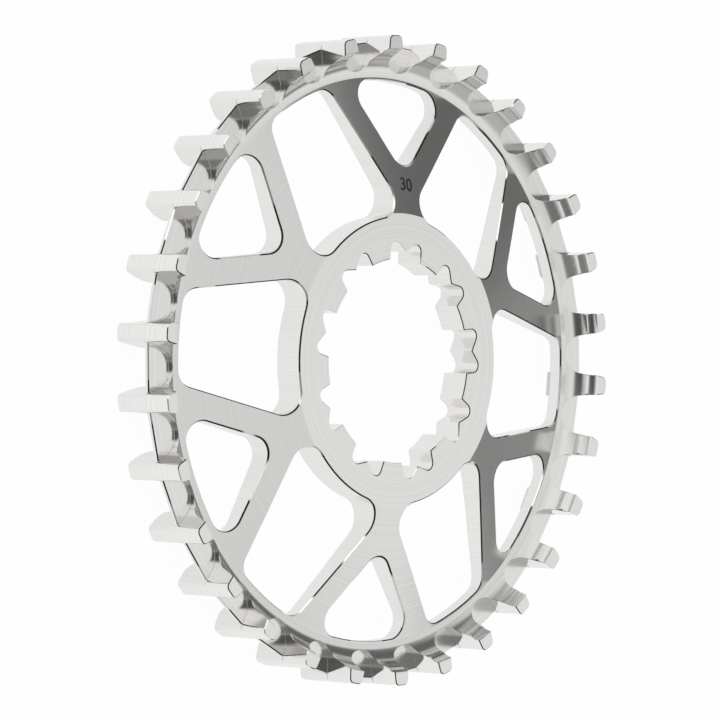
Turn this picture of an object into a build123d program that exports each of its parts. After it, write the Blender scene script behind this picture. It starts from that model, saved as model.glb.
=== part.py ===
"""Belt drive sprocket: one milled steel piece with a splined bore, six forked arms
and thirty belt teeth that stand out on both sides of a thin guide fin.

The axis is +Z. The sprocket lies on the rear ends of its teeth at Z = 0, front face up,
and the first tooth is centred on +X.
"""

import os
from math import cos, pi, radians, sin, tan

from build123d import *

# Belt teeth
tooth_count = 30
belt_pitch = 11.0
pitch_line_offset = 0.82  # the belt's pitch line runs this far outside the tooth tips
tooth_length = 11.0  # along the axis
tooth_tip_bevel = 0.55
tooth_front_depth = 2.15  # radial height of the flat front end
tooth_rear_depth = 3.75  # radial height of the flat rear end
gap_depth = 5.5  # tip to gap bottom
gap_bottom_rounding = 3.5
gap_flank_angle = 14.0  # each flank to the middle of the gap

# Guide fin between the front and rear halves of the teeth
fin_thickness = 0.82
fin_front_depth = 5.05  # behind the front face
fin_drop = 1.13  # tooth tip to fin edge, mid-gap

# Front coves under the teeth
crease_depth = 1.6  # behind the front face
crease_inset = 0.85  # inside the tooth's front end
cove_reach = 1.55  # radially, from the crease in to the rim band
band_width = 2.0
band_angle = 18.0

# Hub, dished web and rim
hub_thickness = 5.0
hub_face_radius = 23.45
dish_angle = 11.55  # front faces of the arms
hub_back_radius = 28.2
web_back_angle = 5.95
rear_undercut = 2.05  # clear space between the rim and the rear halves of the teeth

# Windows and arms
arm_count = 6
arm_spread = 40.0  # each fork branch to the arm's middle line
fork_offset = 19.05  # small window's straight sides to the axis
branch_width = 4.3
window_outer_radius = 44.75
window_hub_radius = 22.95
crotch_rounding = 3.0
hub_corner_rounding = 3.3
rim_corner_rounding = 2.75

# Splined bore
slot_count = 9
first_slot_angle = 10.0
bore_tab_radius = 16.25
slot_width = 7.0
slot_ridge_radius = 17.45
slot_ridge_angle = 33.0  # ridge sides to the line across the slot
slot_lobe_rounding = 1.15

# Everything below follows from the sizes above
tip_radius = tooth_count * belt_pitch / (2 * pi) - pitch_line_offset
tooth_step = 360 / tooth_count
gap_bottom_radius = tip_radius - gap_depth
gap_apex_radius = gap_bottom_radius + gap_bottom_rounding * (1 - 1 / sin(radians(gap_flank_angle)))
gap_reach = 2 * tip_radius - gap_apex_radius
gap_half_mouth = gap_reach * tan(radians(gap_flank_angle))

tooth_front_radius = tip_radius - tooth_front_depth
tooth_rear_radius = tip_radius - tooth_rear_depth
crease_radius = tooth_front_radius - crease_inset
band_outer_radius = crease_radius - cove_reach
band_inner_radius = band_outer_radius - band_width
band_inner_height = tooth_length - (band_inner_radius - hub_face_radius) * tan(radians(dish_angle))
band_outer_height = band_inner_height + band_width * tan(radians(band_angle))

hub_back_height = tooth_length - hub_thickness
rim_back_radius = tooth_rear_radius - rear_undercut
rim_back_height = hub_back_height - (rim_back_radius - hub_back_radius) * tan(radians(web_back_angle))

fin_rear = tooth_length - fin_front_depth - fin_thickness
fin_inner_radius = (window_outer_radius + gap_bottom_radius) / 2

arm_step = 360 / arm_count
fork_apex_radius = fork_offset / sin(radians(arm_spread))
fork_half_mouth = window_outer_radius * tan(radians(arm_spread))
big_window_side = fork_offset - branch_width
big_window_lean = radians(arm_step / 2 - arm_spread)

slot_corner_radius = slot_ridge_radius + slot_width / 2 * tan(radians(slot_ridge_angle))


def big_window_half_width(radius):
    """Half width of a big window where its middle line reaches this radius."""
    return big_window_side / cos(big_window_lean) + radius * tan(big_window_lean)


with BuildSketch() as small_windows:
    with PolarLocations(fork_apex_radius, arm_count, start_angle=arm_step / 2):
        Polygon(
            (0, 0),
            (window_outer_radius, -fork_half_mouth),
            (window_outer_radius, fork_half_mouth),
            align=None,
        )
    Circle(window_outer_radius, mode=Mode.INTERSECT)
    fillet(small_windows.vertices().group_by(SortBy.DISTANCE)[-1], rim_corner_rounding)
    fillet(small_windows.vertices().group_by(SortBy.DISTANCE)[0], crotch_rounding)

with BuildSketch() as big_windows:
    with PolarLocations(0, arm_count):
        Polygon(
            (0, -big_window_half_width(0)),
            (window_outer_radius, -big_window_half_width(window_outer_radius)),
            (window_outer_radius, big_window_half_width(window_outer_radius)),
            (0, big_window_half_width(0)),
            align=None,
        )
    Circle(window_outer_radius, mode=Mode.INTERSECT)
    Circle(window_hub_radius, mode=Mode.SUBTRACT)
    fillet(big_windows.vertices().group_by(SortBy.DISTANCE)[-1], rim_corner_rounding)
    fillet(big_windows.vertices().group_by(SortBy.DISTANCE)[0], hub_corner_rounding)

with BuildSketch() as bore:
    with PolarLocations(0, slot_count, start_angle=first_slot_angle):
        Polygon(
            (0, -slot_width / 2),
            (slot_corner_radius, -slot_width / 2),
            (slot_ridge_radius, 0),
            (slot_corner_radius, slot_width / 2),
            (0, slot_width / 2),
            align=None,
        )
    fillet(bore.vertices().group_by(SortBy.DISTANCE)[-1], slot_lobe_rounding)
    Circle(bore_tab_radius)

with BuildSketch() as tooth_outline:
    Circle(tip_radius)
    with PolarLocations(gap_apex_radius, tooth_count, start_angle=tooth_step / 2):
        Polygon(
            (0, 0),
            (gap_reach, -gap_half_mouth),
            (gap_reach, gap_half_mouth),
            align=None,
            mode=Mode.SUBTRACT,
        )
    fillet(tooth_outline.vertices().group_by(SortBy.DISTANCE)[0], gap_bottom_rounding)
    chamfer(tooth_outline.vertices().group_by(SortBy.DISTANCE)[-1], tooth_tip_bevel)

with BuildSketch(Plane.XY.offset(fin_rear)) as fin_outline:
    RegularPolygon(tip_radius - fin_drop, tooth_count, major_radius=False)
    Circle(fin_inner_radius, mode=Mode.SUBTRACT)

with BuildPart() as sprocket:
    # Turned blank: half of its section, spun round the axis
    with BuildSketch(Plane.XZ):
        with BuildLine():
            Polyline(
                (0, hub_back_height),
                (hub_back_radius, hub_back_height),
                (rim_back_radius, rim_back_height),
                (rim_back_radius, fin_rear),
                (tooth_rear_radius, fin_rear),
                (tooth_rear_radius, 0),
                (tip_radius, 0),
                (tip_radius, tooth_length),
                (tooth_front_radius, tooth_length),
                (crease_radius, tooth_length - crease_depth),
                (band_outer_radius, band_outer_height),
                (band_inner_radius, band_inner_height),
                (hub_face_radius, tooth_length),
                (0, tooth_length),
                (0, hub_back_height),
            )
        make_face()
    revolve(axis=Axis.Z)

    # Belt teeth, then the fin that joins them
    extrude(tooth_outline.sketch, amount=tooth_length, mode=Mode.INTERSECT)
    extrude(fin_outline.sketch, amount=fin_thickness)

    # Windows between the arms and in their forks, and the splined bore
    extrude(small_windows.sketch, amount=tooth_length, mode=Mode.SUBTRACT)
    extrude(big_windows.sketch, amount=tooth_length, mode=Mode.SUBTRACT)
    extrude(bore.sketch, amount=tooth_length, mode=Mode.SUBTRACT)

sprocket.part.label = "sprocket"

os.makedirs("parts", exist_ok=True)
export_step(sprocket.part, "parts/sprocket.step")
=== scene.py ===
"""Looks for the belt drive sprocket: a finished copy of the milled piece, its steel and a studio.

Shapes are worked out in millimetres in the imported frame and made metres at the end.
"""

from math import asin, atan2, ceil, cos, hypot, pi, radians, sin, sqrt, tan

import bmesh
import bpy
from mathutils import Matrix, Vector


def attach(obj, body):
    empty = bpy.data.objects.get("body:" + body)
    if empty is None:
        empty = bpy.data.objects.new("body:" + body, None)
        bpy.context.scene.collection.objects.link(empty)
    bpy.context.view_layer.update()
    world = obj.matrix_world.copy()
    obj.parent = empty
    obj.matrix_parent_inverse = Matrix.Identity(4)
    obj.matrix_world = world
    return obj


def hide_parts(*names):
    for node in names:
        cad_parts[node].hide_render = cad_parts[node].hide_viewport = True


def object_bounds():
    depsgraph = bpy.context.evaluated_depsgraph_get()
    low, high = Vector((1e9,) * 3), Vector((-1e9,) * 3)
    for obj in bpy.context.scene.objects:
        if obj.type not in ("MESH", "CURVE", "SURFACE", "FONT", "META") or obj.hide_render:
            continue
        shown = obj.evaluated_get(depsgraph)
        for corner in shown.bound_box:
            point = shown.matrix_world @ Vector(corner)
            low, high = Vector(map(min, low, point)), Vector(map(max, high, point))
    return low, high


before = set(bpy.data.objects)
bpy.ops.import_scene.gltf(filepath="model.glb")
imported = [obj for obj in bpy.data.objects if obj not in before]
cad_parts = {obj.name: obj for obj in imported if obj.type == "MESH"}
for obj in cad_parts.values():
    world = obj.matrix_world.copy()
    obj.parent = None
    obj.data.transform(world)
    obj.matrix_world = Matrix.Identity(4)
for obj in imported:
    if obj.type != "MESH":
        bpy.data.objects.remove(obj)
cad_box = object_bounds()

MM = 0.001
UP = (0, 0, 1)

# Sizes of the sprocket, as in the part
TIP_RADIUS = cad_box[1].x / MM
TOOTH_LENGTH = cad_box[1].z / MM
TOOTH_COUNT = 30
TOOTH_STEP = 2 * pi / TOOTH_COUNT
TOOTH_FRONT_RADIUS = TIP_RADIUS - 2.15
TOOTH_REAR_RADIUS = TIP_RADIUS - 3.75
GAP_BOTTOM_RADIUS = TIP_RADIUS - 5.5
GAP_ROUNDING = 3.5
GAP_FLANK = radians(14.0)

FIN_FRONT = TOOTH_LENGTH - 5.05
FIN_REAR = FIN_FRONT - 0.82
FIN_EDGE_RADIUS = TIP_RADIUS - 1.13

HUB_FACE_RADIUS = 23.45
HUB_BACK = TOOTH_LENGTH - 5.0
HUB_BACK_RADIUS = 28.2
DISH = radians(11.55)
WEB_BACK = radians(5.95)
BAND_INNER_RADIUS = 45.15
RIM_BACK_RADIUS = 45.9
CREASE = (TOOTH_FRONT_RADIUS - 0.85, TOOTH_LENGTH - 1.6)

ARM_COUNT = 6
ARM_SPREAD = radians(40.0)
FORK_OFFSET = 19.05
BRANCH_WIDTH = 4.3
WINDOW_OUTER_RADIUS = 44.75
WINDOW_HUB_RADIUS = 22.95
CROTCH_ROUNDING = 3.0
HUB_CORNER_ROUNDING = 3.3
RIM_CORNER_ROUNDING = 2.75

SLOT_COUNT = 9
FIRST_SLOT = radians(10.0)
TAB_RADIUS = 16.25
SLOT_HALF_WIDTH = 3.5
RIDGE_RADIUS = 17.45
RIDGE_SLOPE = radians(33.0)
LOBE_ROUNDING = 1.15

# Finer sizes that only the looks show
TIP_ROUNDING = 0.84
REAR_ROUNDING = 1.9
FRONT_COVE_RADIUS = 1.9
COVE_RADIUS = 3.0
BAND_OUTER = (45.95, 6.62)
COVES = [
    ((TOOTH_FRONT_RADIUS, TOOTH_LENGTH), CREASE, FRONT_COVE_RADIUS),
    (CREASE, BAND_OUTER, COVE_RADIUS),
]
FIN_FILLET = 0.12
FIN_FADE = 1.3  # below the tooth tips, where the fin's fillets reach their full size
WINDOW_BREAK = 0.2
BORE_BREAK = 0.13
TOOTH_BREAK = 0.13
FIN_BREAK = 0.17

# How finely the shapes are drawn
ARC_STEP = radians(7.5)
RING_STEP = radians(1.5)
COVE_STEP = radians(5.0)
FILLET_STEPS = 5
FLANK_PARTS = 7
LONGEST_SIDE = 2.0
BLANK_STEPS = 240
BLANK_TURN = radians(0.4)  # keeps the blank's facets off the edges of the cutters
MERGE_DISTANCE = 0.00004  # for the doubles that a full turn leaves
OVERSHOOT = 0.3  # by which a cutter passes the face that it cuts
HIDDEN = 0.04  # by which the teeth reach into the fin

# How faces are told apart: how upright their normals are, their depth and their creases
TURNED_UPRIGHT = 0.9
BROKEN_EDGE_UPRIGHT = (0.6, 0.8)
WALL_UPRIGHT = 0.15
LAND_DEPTH = 0.05
TURNED_CREASE = radians(5)
CREASE_ANGLE = radians(28)

# Marks of the tools, and the length of the painted glints on the deburred edges, in millimetres
TURNING_FEED = 0.5
MILLING_STREAK = 0.4
# Length of the painted white glints between painted dark stretches on the deburred edges
GLINT_STRETCH = 7.0

# Their patterns, and where the deburred edges' painted glints start and reach full white
STREAK_SHAPE = 0.05  # width of a milling streak against its length
MARK_DETAIL = 3.0
# Painted highlights: noise values where a deburred edge turns from its painted dark line to a painted white
# glint
GLINT_FROM = 0.54  # noise at which a deburred edge starts to turn bright
GLINT_FULLY = 0.57


def polar(radius, angle, centre=(0, 0)):
    """The point at a distance and an angle from a centre."""
    return (centre[0] + radius * cos(angle), centre[1] + radius * sin(angle))


def arc(centre, radius, start, end, step=ARC_STEP):
    """Points of an arc from one angle to another, its ends included."""
    count = ceil(abs(end - start) / step)
    return [polar(radius, start + (end - start) * i / count, centre) for i in range(count + 1)]


def cove_centre(start, end, radius):
    """Centre of a cove, a hollow arc from one point of the section down to another."""
    middle = Vector(start).lerp(Vector(end), 0.5)
    along = Vector(end) - Vector(start)
    across = Vector((along.y, -along.x)).normalized()
    return middle + across * sqrt(radius**2 - (along.length / 2) ** 2)


def cove(start, end, radius):
    """Points of a cove, both ends included."""
    centre = cove_centre(start, end, radius)
    first = atan2(start[1] - centre.y, start[0] - centre.x)
    last = atan2(end[1] - centre.y, end[0] - centre.x)
    return arc(centre, radius, first, first - (first - last) % (2 * pi), COVE_STEP)


def turned(points, angle):
    """The points turned round the axis."""
    return [(x * cos(angle) - y * sin(angle), x * sin(angle) + y * cos(angle)) for x, y in points]


def mirrored(point):
    return (point[0], -point[1])


def divided(points):
    """The outline with points added along its long straight sides."""
    result = []
    for here, there in zip(points, points[1:] + points[:1]):
        count = ceil(hypot(there[0] - here[0], there[1] - here[1]) / LONGEST_SIDE)
        result += [tuple(Vector(here).lerp(Vector(there), i / count)) for i in range(count)]
    return result


def grown(points, distance):
    """The outline, which runs counterclockwise, moved outwards by a distance."""
    result = []
    for before, here, after in zip(points[-1:] + points[:-1], points, points[1:] + points[:1]):
        arriving = (Vector(here) - Vector(before)).normalized()
        leaving = (Vector(after) - Vector(here)).normalized()
        outward = Vector((arriving.y + leaving.y, -arriving.x - leaving.x))
        result.append(tuple(Vector(here) + outward * (2 * distance / outward.length_squared)))
    return result


def front_height(radius):
    """Height of the hub face and of the dished arms' front."""
    return TOOTH_LENGTH - max(0.0, radius - HUB_FACE_RADIUS) * tan(DISH)


def back_height(radius):
    """Height of the hub's back and of the web's back."""
    return HUB_BACK - max(0.0, radius - HUB_BACK_RADIUS) * tan(WEB_BACK)


def rim_section():
    """The turned front from the tooth ends over both coves and in across the rim band."""
    front, rear = [cove(*ends) for ends in COVES]
    return front + rear[1:] + [(BAND_INNER_RADIUS, front_height(BAND_INNER_RADIUS))]


def rim_height(radius):
    """Height of the turned front where the teeth and their gaps are cut."""
    if radius >= TOOTH_FRONT_RADIUS:
        return TOOTH_LENGTH
    section = rim_section()
    for (outer, high), (inner, low) in zip(section, section[1:]):
        if inner <= radius < outer:
            return low + (high - low) * (radius - inner) / (outer - inner)
    return front_height(radius)


def stack(mesh, outline, levels, share=lambda radius: 1.0):
    """Adds a solid whose side runs through the outline at each level, grown and at its height.

    Share gives how much of a growth a point at some radius takes.
    """
    face = mesh.faces.new([mesh.verts.new((x, y, 0)) for x, y in outline])
    for number, (growth, height) in enumerate(levels):
        if number:
            below = face
            made = bmesh.ops.extrude_face_region(mesh, geom=[below])["geom"]
            face = next(item for item in made if isinstance(item, bmesh.types.BMFace))
            if number > 1:
                mesh.faces.remove(below)
        for vert, here, there in zip(face.verts, outline, grown(outline, growth)):
            radius = hypot(*here)
            place = Vector(here).lerp(Vector(there), share(radius) if growth > 0 else 1)
            vert.co = (place.x, place.y, height(radius) if callable(height) else height)


def spun(section, steps, start=0.0):
    """A solid turned from half of its section, given as (radius, height) points."""
    mesh = bmesh.new()
    verts = [mesh.verts.new((*polar(radius, start), height)) for radius, height in section]
    edges = [mesh.edges.new(pair) for pair in zip(verts, verts[1:] + verts[:1])]
    bmesh.ops.spin(mesh, geom=verts + edges, cent=(0, 0, 0), axis=UP, angle=2 * pi, steps=steps,
                   use_merge=True)
    bmesh.ops.remove_doubles(mesh, verts=mesh.verts, dist=MERGE_DISTANCE)
    return mesh


def blank():
    """The turned blank: hub, dished web, rim and the ring that the teeth are cut from."""
    outside = TIP_RADIUS + OVERSHOOT
    fin_hidden = FIN_REAR + HIDDEN
    section = [(0, HUB_BACK), (HUB_BACK_RADIUS, HUB_BACK), (RIM_BACK_RADIUS, back_height(RIM_BACK_RADIUS))]
    section += [(RIM_BACK_RADIUS, fin_hidden), (TOOTH_REAR_RADIUS, fin_hidden)]
    section += arc((TOOTH_REAR_RADIUS + REAR_ROUNDING, REAR_ROUNDING), REAR_ROUNDING, pi, 1.5 * pi)
    section += [(outside, 0), (outside, TOOTH_LENGTH)]
    section += rim_section() + [(HUB_FACE_RADIUS, TOOTH_LENGTH), (0, TOOTH_LENGTH)]
    return spun(section, BLANK_STEPS, BLANK_TURN)


def with_flanks(arcs):
    """The arcs in a row, with points between them so that a tooth's end edge can follow the coves."""
    outline = list(arcs[0])
    for following in arcs[1:]:
        start, end = Vector(outline[-1]), Vector(following[0])
        outline += [tuple(start.lerp(end, i / FLANK_PARTS)) for i in range(1, FLANK_PARTS)]
        outline += following
    return outline


def tooth_outline():
    """The toothed outline, with the first tooth centred on +X."""
    apex = GAP_BOTTOM_RADIUS + GAP_ROUNDING * (1 - 1 / sin(GAP_FLANK))
    tip = corner(-apex * sin(GAP_FLANK), pi / 2 + GAP_FLANK, -TIP_ROUNDING, TIP_RADIUS - TIP_ROUNDING)
    lean = atan2(tip[1], tip[0])
    middle = (GAP_BOTTOM_RADIUS + GAP_ROUNDING, 0)
    gap = with_flanks([
        arc(mirrored(tip), TIP_ROUNDING, -lean, pi / 2 - GAP_FLANK),
        arc(middle, GAP_ROUNDING, 1.5 * pi - GAP_FLANK, pi / 2 + GAP_FLANK),
        arc(tip, TIP_ROUNDING, GAP_FLANK - pi / 2, lean),
    ])
    land = arc((0, 0), TIP_RADIUS, lean, TOOTH_STEP - lean, RING_STEP)[1:-1]
    return [point for k in range(TOOTH_COUNT) for point in turned(gap + land, (k + 0.5) * TOOTH_STEP)]


def corner(side, normal, rounding, ring):
    """Centre of a rounding that touches a straight side, on a ring round the axis.

    The side is given by its distance from the axis along its outward normal.
    """
    away = side - rounding
    along = sqrt(ring**2 - away**2)
    return (away * cos(normal) + along * sin(normal), away * sin(normal) - along * cos(normal))


def fork_window_outline():
    """Window in the fork of an arm that points along +X."""
    normal = pi / 2 + ARM_SPREAD
    crotch = (FORK_OFFSET + CROTCH_ROUNDING) / sin(ARM_SPREAD)
    rim = corner(-FORK_OFFSET, normal, RIM_CORNER_ROUNDING, WINDOW_OUTER_RADIUS - RIM_CORNER_ROUNDING)
    lean = atan2(rim[1], rim[0])
    outline = arc((crotch, 0), CROTCH_ROUNDING, normal, 2 * pi - normal)
    outline += arc(mirrored(rim), RIM_CORNER_ROUNDING, -normal, -lean)
    outline += arc((0, 0), WINDOW_OUTER_RADIUS, -lean, lean, RING_STEP)[1:-1]
    outline += arc(rim, RIM_CORNER_ROUNDING, lean, normal)
    return divided(outline)


def arm_window_outline():
    """Window between two arms, with its middle line along +X."""
    normal = pi / 2 - (ARM_SPREAD - pi / ARM_COUNT)
    side = FORK_OFFSET - BRANCH_WIDTH
    rim = corner(side, normal, RIM_CORNER_ROUNDING, WINDOW_OUTER_RADIUS - RIM_CORNER_ROUNDING)
    hub = corner(side, normal, HUB_CORNER_ROUNDING, WINDOW_HUB_RADIUS + HUB_CORNER_ROUNDING)
    rim_lean = atan2(rim[1], rim[0])
    hub_lean = atan2(hub[1], hub[0])
    outline = arc(mirrored(rim), RIM_CORNER_ROUNDING, -normal, -rim_lean)
    outline += arc((0, 0), WINDOW_OUTER_RADIUS, -rim_lean, rim_lean, RING_STEP)[1:-1]
    outline += arc(rim, RIM_CORNER_ROUNDING, rim_lean, normal)
    outline += arc(hub, HUB_CORNER_ROUNDING, normal, pi + hub_lean)
    outline += arc((0, 0), WINDOW_HUB_RADIUS, hub_lean, -hub_lean, RING_STEP)[1:-1]
    outline += arc(mirrored(hub), HUB_CORNER_ROUNDING, pi - hub_lean, 2 * pi - normal)
    return divided(outline)


def bore_outline():
    """The bore with its two-lobed slots and the tabs between them."""
    lobe_away = SLOT_HALF_WIDTH - LOBE_ROUNDING
    lobe_out = RIDGE_RADIUS + (lobe_away * sin(RIDGE_SLOPE) - LOBE_ROUNDING) / cos(RIDGE_SLOPE)
    mouth = asin(SLOT_HALF_WIDTH / TAB_RADIUS)
    slot_step = 2 * pi / SLOT_COUNT
    slot = arc((lobe_out, -lobe_away), LOBE_ROUNDING, -pi / 2, RIDGE_SLOPE)
    slot += [(RIDGE_RADIUS, 0)]
    slot += arc((lobe_out, lobe_away), LOBE_ROUNDING, -RIDGE_SLOPE, pi / 2)
    slot += arc((0, 0), TAB_RADIUS, mouth, slot_step - mouth)
    return [point for k in range(SLOT_COUNT) for point in turned(slot, FIRST_SLOT + k * slot_step)]


def fin_fillets():
    """Growth and height of the tooth sides where they round into both faces of the fin."""
    turns = [pi / 2 * i / FILLET_STEPS for i in range(FILLET_STEPS + 1)]
    curve = [(FIN_FILLET * (1 - cos(turn)), FIN_FILLET * (1 - sin(turn))) for turn in turns]
    below = [(growth, FIN_REAR + HIDDEN - away) for growth, away in curve]
    above = [(growth, FIN_FRONT - HIDDEN + away) for growth, away in reversed(curve)]
    return below + above


def tooth_cutter():
    """A block with the toothed outline, its end edges broken and its sides rounded into the fin."""
    mesh = bmesh.new()
    past = TOOTH_BREAK + OVERSHOOT
    levels = [(-past, -OVERSHOOT), (0, TOOTH_BREAK)]
    levels += fin_fillets()
    levels += [(0, lambda r: rim_height(r) - TOOTH_BREAK), (-past, lambda r: rim_height(r) + OVERSHOOT)]
    levels += [(-past, TOOTH_LENGTH + 2 * OVERSHOOT)]
    stack(mesh, tooth_outline(), levels, lambda radius: min(1, (TIP_RADIUS - radius) / FIN_FADE))
    return mesh


def fin_ring():
    """The guide fin before its edge is cut, as a ring that reaches into the rim."""
    inside = (WINDOW_OUTER_RADIUS + RIM_BACK_RADIUS) / 2
    return spun([(inside, FIN_REAR), (TIP_RADIUS, FIN_REAR), (TIP_RADIUS, FIN_FRONT), (inside, FIN_FRONT)],
                BLANK_STEPS, BLANK_TURN)


def fin_cutter():
    """A block with the fin's straight edges from tooth to tooth."""
    mesh = bmesh.new()
    past = FIN_BREAK + OVERSHOOT
    outline = [polar(FIN_EDGE_RADIUS / cos(TOOTH_STEP / 2), k * TOOTH_STEP) for k in range(TOOTH_COUNT)]
    stack(mesh, outline, [(-past, FIN_REAR - OVERSHOOT), (0, FIN_REAR + FIN_BREAK),
                          (0, FIN_FRONT - FIN_BREAK), (-past, FIN_FRONT + OVERSHOOT)])
    return mesh


def openings():
    """Cutters for the windows and the bore, flared at both ends where they break the edges."""
    mesh = bmesh.new()
    past = WINDOW_BREAK + OVERSHOOT
    through = [(past, -OVERSHOOT), (past, lambda r: back_height(r) - OVERSHOOT),
               (0, lambda r: back_height(r) + WINDOW_BREAK), (0, lambda r: front_height(r) - WINDOW_BREAK),
               (past, lambda r: front_height(r) + OVERSHOOT), (past, TOOTH_LENGTH + 2 * OVERSHOOT)]
    for k in range(ARM_COUNT):
        stack(mesh, turned(arm_window_outline(), k * 2 * pi / ARM_COUNT), through)
        stack(mesh, turned(fork_window_outline(), (k + 0.5) * 2 * pi / ARM_COUNT), through)
    past = BORE_BREAK + OVERSHOOT
    stack(mesh, bore_outline(), [(past, HUB_BACK - OVERSHOOT), (0, HUB_BACK + BORE_BREAK),
                                 (0, TOOTH_LENGTH - BORE_BREAK), (past, TOOTH_LENGTH + OVERSHOOT)])
    return mesh


def as_object(name, mesh):
    """An object with the mesh, which is used up."""
    bmesh.ops.recalc_face_normals(mesh, faces=mesh.faces)
    data = bpy.data.meshes.new(name)
    mesh.to_mesh(data)
    mesh.free()
    made = bpy.data.objects.new(name, data)
    bpy.context.collection.objects.link(made)
    return made


def with_modifiers(piece):
    """A new mesh of the piece as its modifiers make it."""
    return bpy.data.meshes.new_from_object(piece.evaluated_get(bpy.context.evaluated_depsgraph_get()))


def apply_modifiers(piece):
    result = with_modifiers(piece)
    piece.modifiers.clear()
    piece.data = result


def combine(piece, operation, mesh):
    """Joins, cuts or trims a piece with another mesh, which is used up."""
    other = as_object("cutter", mesh)
    change = piece.modifiers.new("change", "BOOLEAN")
    change.operation = operation
    change.object = other
    apply_modifiers(piece)
    bpy.data.objects.remove(other)


def finished_sprocket():
    """The sprocket with the roundings and broken edges that its looks need."""
    piece = as_object("finished_sprocket", blank())
    combine(piece, "INTERSECT", tooth_cutter())
    fin = as_object("fin", fin_ring())
    combine(fin, "INTERSECT", fin_cutter())
    fin_mesh = bmesh.new()
    fin_mesh.from_mesh(fin.data)
    bpy.data.objects.remove(fin)
    combine(piece, "UNION", fin_mesh)
    combine(piece, "DIFFERENCE", openings())
    return piece


def srgb(code):
    """A "#rrggbb" colour as linear RGBA."""
    parts = [int(code[i:i + 2], 16) / 255 for i in (1, 3, 5)]
    return [p / 12.92 if p <= 0.04045 else ((p + 0.055) / 1.055) ** 2.4 for p in parts] + [1.0]


def add(tree, kind, inputs=(), **settings):
    """Adds a node; inputs give a socket, by name or number, its value or the socket that feeds it."""
    made = tree.nodes.new(kind)
    for name, value in settings.items():
        setattr(made, name, value)
    for name, value in dict(inputs).items():
        if isinstance(value, bpy.types.NodeSocket):
            tree.links.new(value, made.inputs[name])
        else:
            made.inputs[name].default_value = value
    return made


def new_material(name):
    material = bpy.data.materials.new(name)
    material.use_nodes = True
    material.node_tree.nodes.clear()
    return material, material.node_tree


def around_axis(tree):
    """Distance from the axis, in metres, of the point that is shaded."""
    place = add(tree, "ShaderNodeTexCoord").outputs["Object"]
    flat = add(tree, "ShaderNodeVectorMath", {0: place, 1: (1, 1, 0)}, operation="MULTIPLY")
    return add(tree, "ShaderNodeVectorMath", {0: flat.outputs[0]}, operation="LENGTH").outputs["Value"]


def cut_steel(name, marks, colours, roughness, depth=0.0):
    """Steel whose tool marks vary its colour, gloss and height, the last in millimetres; on the deburred
    edges the pattern is painted glints on a painted dark line.
    """
    material, tree = new_material(name)
    grain = marks(tree)
    dull, bright = colours
    smoothest, roughest = roughness
    colour = add(tree, "ShaderNodeMix", {"Factor": grain, 6: srgb(dull), 7: srgb(bright)}, data_type="RGBA")
    gloss = add(tree, "ShaderNodeMapRange", {"Value": grain, "To Min": roughest, "To Max": smoothest})
    bump = add(tree, "ShaderNodeBump", {"Height": grain, "Distance": depth * MM})
    surface = add(tree, "ShaderNodeBsdfPrincipled", {
        "Base Color": colour.outputs[2],
        "Metallic": 1.0,
        "Roughness": gloss.outputs[0],
        "Normal": bump.outputs[0],
    })
    add(tree, "ShaderNodeOutputMaterial", {"Surface": surface.outputs[0]})
    return material


def turning_marks(tree):
    """Rings that the lathe tool leaves; real feed 0.15 mm, drawn coarser so that it shows."""
    inputs = {"W": around_axis(tree), "Scale": 1 / (TURNING_FEED * MM), "Detail": MARK_DETAIL}
    return add(tree, "ShaderNodeTexNoise", inputs, noise_dimensions="1D").outputs["Fac"]


def land_marks(tree):
    """The same rings on the tooth lands, where they follow one another along the axis."""
    place = add(tree, "ShaderNodeTexCoord").outputs["Object"]
    height = add(tree, "ShaderNodeSeparateXYZ", {0: place}).outputs["Z"]
    inputs = {"W": height, "Scale": 1 / (TURNING_FEED * MM), "Detail": MARK_DETAIL}
    return add(tree, "ShaderNodeTexNoise", inputs, noise_dimensions="1D").outputs["Fac"]


def milling_marks(tree):
    """Streaks along the axis that the side of a milling cutter leaves."""
    place = add(tree, "ShaderNodeTexCoord").outputs["Object"]
    drawn_out = add(tree, "ShaderNodeVectorMath", {0: place, 1: (1, 1, STREAK_SHAPE)}, operation="MULTIPLY")
    inputs = {"Vector": drawn_out.outputs[0], "Scale": 1 / (MILLING_STREAK * MM), "Detail": MARK_DETAIL}
    return add(tree, "ShaderNodeTexNoise", inputs).outputs["Fac"]


def deburred_stretches(tree):
    """Painted highlights and shade: stretches of an edge coloured white as glints, between ones coloured
    dark as a line, set by noise and not by the lamps.
    """
    place = add(tree, "ShaderNodeTexCoord").outputs["Object"]
    inputs = {"Vector": place, "Scale": 1 / (GLINT_STRETCH * MM), "Detail": 0.0}
    waves = add(tree, "ShaderNodeTexNoise", inputs).outputs["Fac"]
    ends = {"Value": waves, "From Min": GLINT_FROM, "From Max": GLINT_FULLY}
    return add(tree, "ShaderNodeMapRange", ends).outputs[0]


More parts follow.
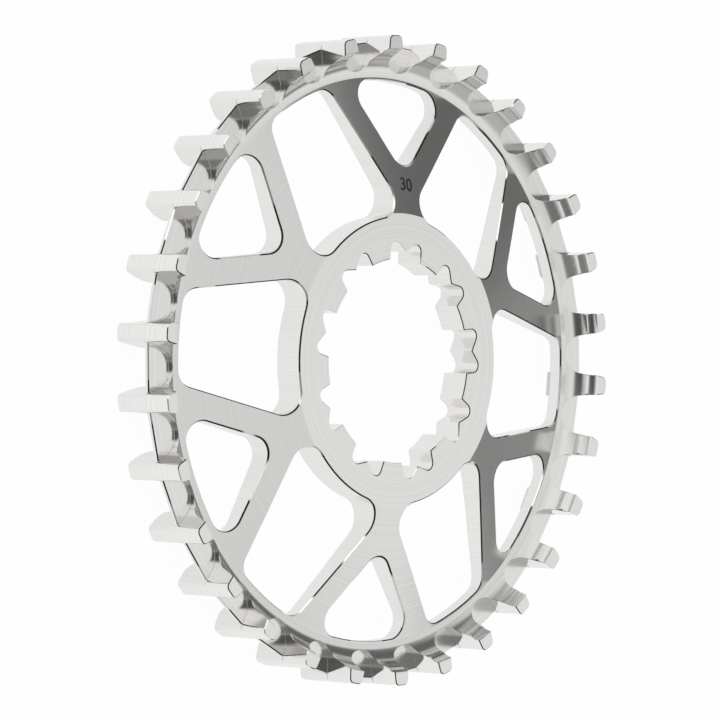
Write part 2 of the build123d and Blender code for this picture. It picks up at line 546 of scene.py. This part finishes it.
def finishes():
    """The ways in which the one piece of stainless steel is finished, in the order named below."""
    return [
        # Turned on a lathe: the flat light grey of the hub and arms, with faint rings
        cut_steel("turned stainless steel", turning_marks,
                  colours=("#d9d8d6", "#e4e3e1"), roughness=(0.18, 0.22), depth=0.0006),
        # Turned and brushed: the rim band blurs the room, so it is a soft grey all round
        cut_steel("satin stainless steel", turning_marks,
                  colours=("#dfdedc", "#e4e3e1"), roughness=(0.25, 0.29), depth=0.0005),
        # Turned with a form tool: the coves show the room as soft light and dark bands
        cut_steel("form-turned stainless steel", turning_marks,
                  colours=("#d3d2d0", "#d9d8d6"), roughness=(0.21, 0.25)),
        # Side-milled: window and bore walls, nearly white, with faint streaks along the axis
        cut_steel("milled stainless steel", milling_marks,
                  colours=("#e9e8e6", "#f3f2f0"), roughness=(0.1, 0.16), depth=0.0003),
        # Milled with a fine last cut: tooth sides and gap bottoms, as bright as a mirror
        cut_steel("finish-milled stainless steel", milling_marks,
                  colours=("#eae9e7", "#f3f2f0"), roughness=(0.06, 0.1), depth=0.0001),
        # Turned tooth lands: nearly white, with fine rings that run round the sprocket
        cut_steel("turned steel of the tooth lands", land_marks,
                  colours=("#eae9e7", "#fbfaf8"), roughness=(0.16, 0.26), depth=0.002),
        # Deburred edges: a painted dark line with painted white glints, set by a noise pattern and not by
        # the lamps
        cut_steel("deburred steel with painted dark line and glints", deburred_stretches,
                  colours=("#333332", "#ffffff"), roughness=(0.3, 0.4)),
    ]


TURNED, SATIN, COVE, MILLED, FLANK, LAND, DEBURRED = range(7)


def is_broken_edge(upright, radius, height):
    """Whether a face is the bevel of a window, of the bore, of a tooth's end or of the fin."""
    least, most = BROKEN_EDGE_UPRIGHT
    at_end = min(height, TOOTH_LENGTH - height) < TOOTH_BREAK
    in_fin = FIN_REAR - HIDDEN < height < FIN_FRONT + HIDDEN
    at_fin_edge = in_fin and radius > FIN_EDGE_RADIUS - 2 * FIN_BREAK
    return least < upright < most and (radius < BAND_INNER_RADIUS or at_end or at_fin_edge)


def finish_of(face):
    """Which finish a face has, told by the way it faces and where it lies."""
    upright = abs(face.normal.z)
    middle = face.calc_center_median()
    radius = hypot(middle.x, middle.y)
    if is_broken_edge(upright, radius, middle.z):
        return DEBURRED
    if upright > TURNED_UPRIGHT:
        on_band = BAND_INNER_RADIUS < radius < BAND_OUTER[0] and middle.z > FIN_FRONT
        return SATIN if on_band else TURNED
    if upright > WALL_UPRIGHT:
        return COVE
    if radius > TIP_RADIUS - LAND_DEPTH:
        return LAND
    return FLANK if radius > RIM_BACK_RADIUS else MILLED


def is_crease(edge):
    """Whether two faces meet at an angle; two turned faces already do at a small one."""
    both_turned = all(abs(face.normal.z) > TURNED_UPRIGHT for face in edge.link_faces)
    return edge.calc_face_angle(pi) > (TURNED_CREASE if both_turned else CREASE_ANGLE)


def cove_normal(place, centre):
    """Exact normal, at a place in millimetres, of the cove with this centre in its section."""
    radius = hypot(place.x, place.y)
    outward = (centre.x - radius) / radius
    return Vector((outward * place.x, outward * place.y, centre.y - place.z)).normalized()


def round_coves(data):
    """Gives the coves the normals of true arcs, so that their reflections run evenly."""
    normals = [corner.vector.copy() for corner in data.corner_normals]
    for start, end, radius in COVES:
        centre = cove_centre(start, end, radius)
        for face in data.polygons:
            middle = face.center / MM
            at_cove = end[0] < hypot(middle.x, middle.y) < start[0] and middle.z > FIN_FRONT
            if at_cove and face.normal.dot(cove_normal(middle, centre)) > cos(CREASE_ANGLE / 2):
                for corner in face.loop_indices:
                    place = data.vertices[data.loops[corner].vertex_index].co / MM
                    normals[corner] = cove_normal(place, centre)
    data.normals_split_custom_set(normals)


def give_finishes(piece):
    """Gives each face its finish, marks the creases and keeps flat faces flat up to their edges."""
    for material in finishes():
        piece.data.materials.append(material)
    mesh = bmesh.new()
    mesh.from_mesh(piece.data)
    for face in mesh.faces:
        face.smooth = True
        face.material_index = finish_of(face)
    for edge in mesh.edges:
        edge.smooth = not is_crease(edge)
    bmesh.ops.scale(mesh, verts=mesh.verts, vec=(MM, MM, MM))
    mesh.to_mesh(piece.data)
    mesh.free()
    flat = piece.modifiers.new("flat faces stay flat", "WEIGHTED_NORMAL")
    flat.keep_sharp = True
    apply_modifiers(piece)
    round_coves(piece.data)


sprocket = finished_sprocket()
give_finishes(sprocket)
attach(sprocket, "root")
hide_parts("sprocket")


# Tooth count, etched into the top arm
NUMERAL_SIZE = 2.9
NUMERAL_STROKE = 0.04
NUMERAL_RADIUS = 28.1
NUMERAL_LIFT = 0.02


def numeral():
    """A plain number for the count of teeth, laid on the arm's cone and upright at the top."""
    writing = bpy.data.curves.new("tooth_count", "FONT")
    writing.body = str(TOOTH_COUNT)
    writing.size = NUMERAL_SIZE
    writing.offset = NUMERAL_STROKE
    writing.align_x = "CENTER"
    writing.align_y = "CENTER"
    written = bpy.data.objects.new("writing", writing)
    bpy.context.collection.objects.link(written)
    data = with_modifiers(written)
    bpy.data.objects.remove(written)
    for vert in data.vertices:
        x, y = vert.co.x, vert.co.y + NUMERAL_RADIUS
        vert.co = Vector((x, y, front_height(hypot(x, y)) + NUMERAL_LIFT)) * MM
    made = bpy.data.objects.new("tooth_count", data)
    bpy.context.collection.objects.link(made)
    data.materials.clear()
    data.materials.append(etched_steel())
    return made


def etched_steel():
    """Laser-etched steel: the oxide is dark grey and hardly shines."""
    material, tree = new_material("laser-etched stainless steel")
    surface = add(tree, "ShaderNodeBsdfPrincipled", {
        "Base Color": srgb("#1c1c1c"),
        "Metallic": 0.0,
        "Roughness": 0.6,
    })
    add(tree, "ShaderNodeOutputMaterial", {"Surface": surface.outputs[0]})
    return material


tooth_count = numeral()
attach(tooth_count, "root")


# Camera, fitted to the photo
IMAGE_WIDTH = 720
SENSOR_WIDTH = 36.0
FOCAL_LENGTH_PX = 4082.63
CAMERA_PLACE = Vector((-477.394, -35.872, 448.971)) * MM
CAMERA_RIGHT = Vector((0.679285, 0.062564, 0.731203))
CAMERA_UP = Vector((-0.082798, 0.996531, -0.008347))

camera = bpy.data.objects.new("camera", bpy.data.cameras.new("camera"))
bpy.context.collection.objects.link(camera)
camera.data.sensor_width = SENSOR_WIDTH
camera.data.lens = FOCAL_LENGTH_PX / IMAGE_WIDTH * SENSOR_WIDTH
camera_axes = Matrix((CAMERA_RIGHT, CAMERA_UP, CAMERA_RIGHT.cross(CAMERA_UP))).transposed()
camera.matrix_world = Matrix.Translation(CAMERA_PLACE) @ camera_axes.to_4x4()
camera.data.clip_start = 0.05
camera.data.clip_end = 10.0
bpy.context.scene.camera = camera


# Floor and light
FLOOR_SIZE = 4.0
GLOW_TO_CAMERA = 0.97
GLOW_TO_METAL = 0.8


def white_floor():
    """White paper: the camera and the metal see it nearly white, with the object's shadow on it."""
    material, tree = new_material("white paper")
    path = add(tree, "ShaderNodeLightPath").outputs
    to_metal = add(tree, "ShaderNodeMath", {0: path["Is Glossy Ray"], 1: GLOW_TO_METAL},
                   operation="MULTIPLY")
    glow = add(tree, "ShaderNodeMath",
               {0: path["Is Camera Ray"], 1: GLOW_TO_CAMERA, 2: to_metal.outputs[0]},
               operation="MULTIPLY_ADD")
    paper = add(tree, "ShaderNodeBsdfDiffuse", {"Color": srgb("#ffffff")})
    white = add(tree, "ShaderNodeEmission", {"Color": srgb("#ffffff"), "Strength": 1.0})
    shown = add(tree, "ShaderNodeMixShader", {0: glow.outputs[0], 1: paper.outputs[0], 2: white.outputs[0]})
    add(tree, "ShaderNodeOutputMaterial", {"Surface": shown.outputs[0]})
    return material


bpy.ops.mesh.primitive_plane_add(size=FLOOR_SIZE)
floor = bpy.context.object
floor.name = "floor"
floor.data.materials.append(white_floor())

# Screens and flags of the studio: azimuth from +X and elevation of the middle, half width, half
# height and softness of the edge in degrees, and brightness against the white tent round them
PANELS = {
    "grey ceiling": (-15, 72, 60, 20, 5, 0.84),
    "grey wall": (300, 20, 34, 36, 5, 0.62),
    "white screen": (129, 40, 31, 60, 5, 1.12),
    "screen end": (87, 8, 12, 34, 5, 0.45),
    "long low flag": (-6, 21, 24, 7, 4, 0.16),
    "far flag": (42, 27.5, 30, 19.5, 4, 0.14),
    "camera side": (190, 24, 27, 34, 8, 0.09),
    "beside the camera": (241, 24, 24, 36, 8, 0.23),
}


def nearness(tree, angle, middle, half, softness):
    """1 where an angle is within half of the middle, 0 outside, with a soft edge.

    The angle is a socket in radians, and the numbers are degrees.
    """
    away = add(tree, "ShaderNodeMath", {0: angle, 1: radians(middle)}, operation="SUBTRACT").outputs[0]
    apart = add(tree, "ShaderNodeMath", {0: away, 1: pi}, operation="PINGPONG").outputs[0]
    ends = {"Value": apart, "From Min": radians(half + softness), "From Max": radians(half - softness)}
    return add(tree, "ShaderNodeMapRange", ends, interpolation_type="SMOOTHSTEP").outputs[0]


def studio_world():
    """A white tent with a few screens and flags; the camera sees all of it as white."""
    world = bpy.data.worlds.new("studio")
    bpy.context.scene.world = world
    world.use_nodes = True
    tree = world.node_tree
    tree.nodes.clear()
    direction = add(tree, "ShaderNodeTexCoord").outputs["Generated"]
    split = add(tree, "ShaderNodeSeparateXYZ", {0: direction}).outputs
    azimuth = add(tree, "ShaderNodeMath", {0: split["Y"], 1: split["X"]}, operation="ARCTAN2").outputs[0]
    elevation = add(tree, "ShaderNodeMath", {0: split["Z"]}, operation="ARCSINE").outputs[0]
    light = 1.0
    for turn, rise, half_width, half_height, softness, brightness in PANELS.values():
        across = nearness(tree, azimuth, turn, half_width, softness)
        upwards = nearness(tree, elevation, rise, half_height, softness)
        inside = add(tree, "ShaderNodeMath", {0: across, 1: upwards}, operation="MULTIPLY").outputs[0]
        light = add(tree, "ShaderNodeMix", {"Factor": inside, "A": light, "B": brightness}).outputs[0]
    camera_ray = add(tree, "ShaderNodeLightPath").outputs["Is Camera Ray"]
    strength = add(tree, "ShaderNodeMix", {"Factor": camera_ray, "A": light, "B": 1.0}).outputs[0]
    sky = add(tree, "ShaderNodeBackground", {"Color": srgb("#ffffff"), "Strength": strength})
    add(tree, "ShaderNodeOutputWorld", {"Surface": sky.outputs[0]})


studio_world()

bpy.context.scene.view_settings.view_transform = "Standard"
